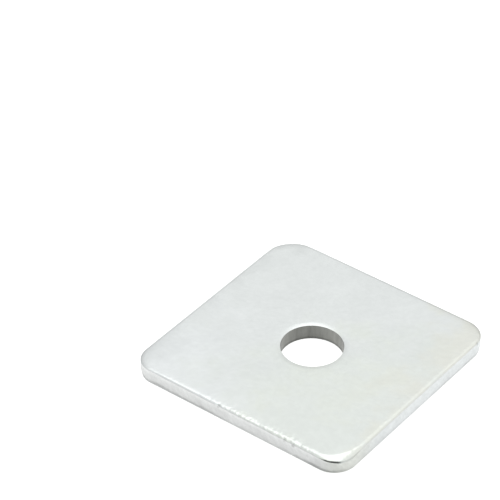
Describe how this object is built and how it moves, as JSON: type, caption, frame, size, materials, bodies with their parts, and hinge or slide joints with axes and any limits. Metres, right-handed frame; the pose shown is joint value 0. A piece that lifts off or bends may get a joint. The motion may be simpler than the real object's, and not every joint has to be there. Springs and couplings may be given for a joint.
{
  "type": "square plate washer",
  "caption": "Flat square steel washer with rounded corners and a round centre hole, blanked from plate, to spread a bolt's load over timber or masonry.",
  "frame": {"origin": "centre of the hole on the flat underside, the face that bears on the work", "axes": "+Z along the hole, towards the face with the rolled edges; X and Y square to the washer's sides"},
  "size_m": [0.05, 0.05, 0.0035],
  "materials": {
    "bright_zinc_plate": "mild steel plate, blanked and tumbled, with bright clear zinc plating: a pale satin grey with a faint cloud, and finely streaked cut edges"
  },
  "bodies": {
    "root": {"square_plate_washer": "bright_zinc_plate"}
  },
  "joints": []
}
